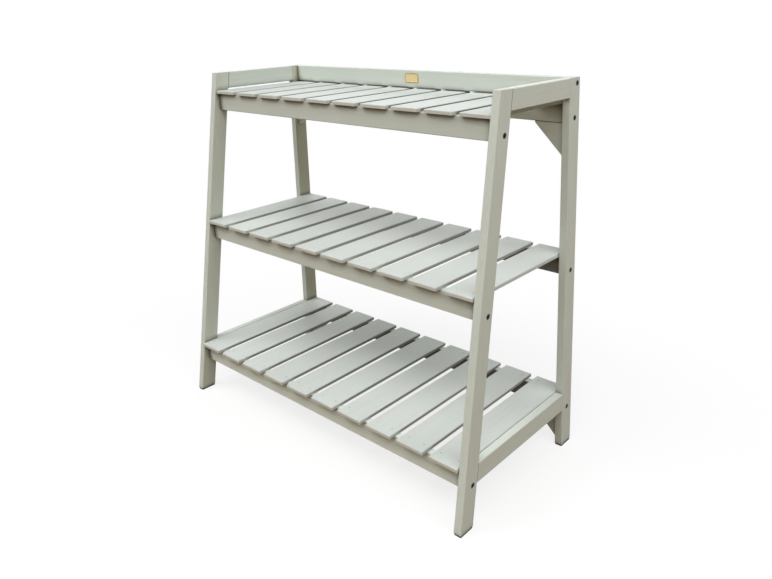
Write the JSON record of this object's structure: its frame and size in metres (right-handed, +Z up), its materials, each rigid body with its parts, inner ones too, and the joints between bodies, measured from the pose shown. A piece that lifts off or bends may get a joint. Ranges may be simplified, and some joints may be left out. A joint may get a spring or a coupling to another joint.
{
  "type": "slatted shelf",
  "caption": "Free-standing painted wooden shelf with slatted tiers, raked front legs, upright rear legs, screwed rails, corner gussets and a low back board.",
  "frame": {"origin": "on the floor, at the middle of the footprint's bounding box", "axes": "+X to the right seen from the front, +Y to the rear, +Z up"},
  "size_m": [1, 0.47, 0.942],
  "materials": {
    "frame_paint": "sage-grey satin paint over timber",
    "slat_paint": "pale grey satin paint over timber",
    "foot_pad": "matt black",
    "black_screw": "blackened steel"
  },
  "bodies": {
    "root": {"front_leg_left": "frame_paint", "rear_leg_left": "frame_paint", "top_side_rail_left": "frame_paint", "bottom_side_rail_left": "frame_paint", "gusset_top_left": "frame_paint", "gusset_bottom_left": "frame_paint", "front_leg_right": "frame_paint", "rear_leg_right": "frame_paint", "top_side_rail_right": "frame_paint", "bottom_side_rail_right": "frame_paint", "gusset_top_right": "frame_paint", "gusset_bottom_right": "frame_paint", "front_rail_bottom": "frame_paint", "rear_rail_bottom": "frame_paint", "front_rail_middle": "frame_paint", "rear_rail_middle": "frame_paint", "front_rail_top": "frame_paint", "rear_rail_top": "frame_paint", "back_board": "frame_paint", "slat_bottom_01": "slat_paint", "slat_bottom_02": "slat_paint", "slat_bottom_03": "slat_paint", "slat_bottom_04": "slat_paint", "slat_bottom_05": "slat_paint", "slat_bottom_06": "slat_paint", "slat_bottom_07": "slat_paint", "slat_bottom_08": "slat_paint", "slat_bottom_09": "slat_paint", "slat_bottom_10": "slat_paint", "slat_middle_01": "slat_paint", "slat_middle_02": "slat_paint", "slat_middle_03": "slat_paint", "slat_middle_04": "slat_paint", "slat_middle_05": "slat_paint", "slat_middle_06": "slat_paint", "slat_middle_07": "slat_paint", "slat_middle_08": "slat_paint", "slat_middle_09": "slat_paint", "slat_middle_10": "slat_paint", "slat_top_01": "slat_paint", "slat_top_02": "slat_paint", "slat_top_03": "slat_paint", "slat_top_04": "slat_paint", "slat_top_05": "slat_paint", "slat_top_06": "slat_paint", "slat_top_07": "slat_paint", "slat_top_08": "slat_paint", "slat_top_09": "slat_paint", "slat_top_10": "slat_paint", "foot_pad_front_left": "foot_pad", "foot_pad_front_right": "foot_pad", "foot_pad_rear_left": "foot_pad", "foot_pad_rear_right": "foot_pad", "connecting_screws": "black_screw"}
  },
  "joints": []
}
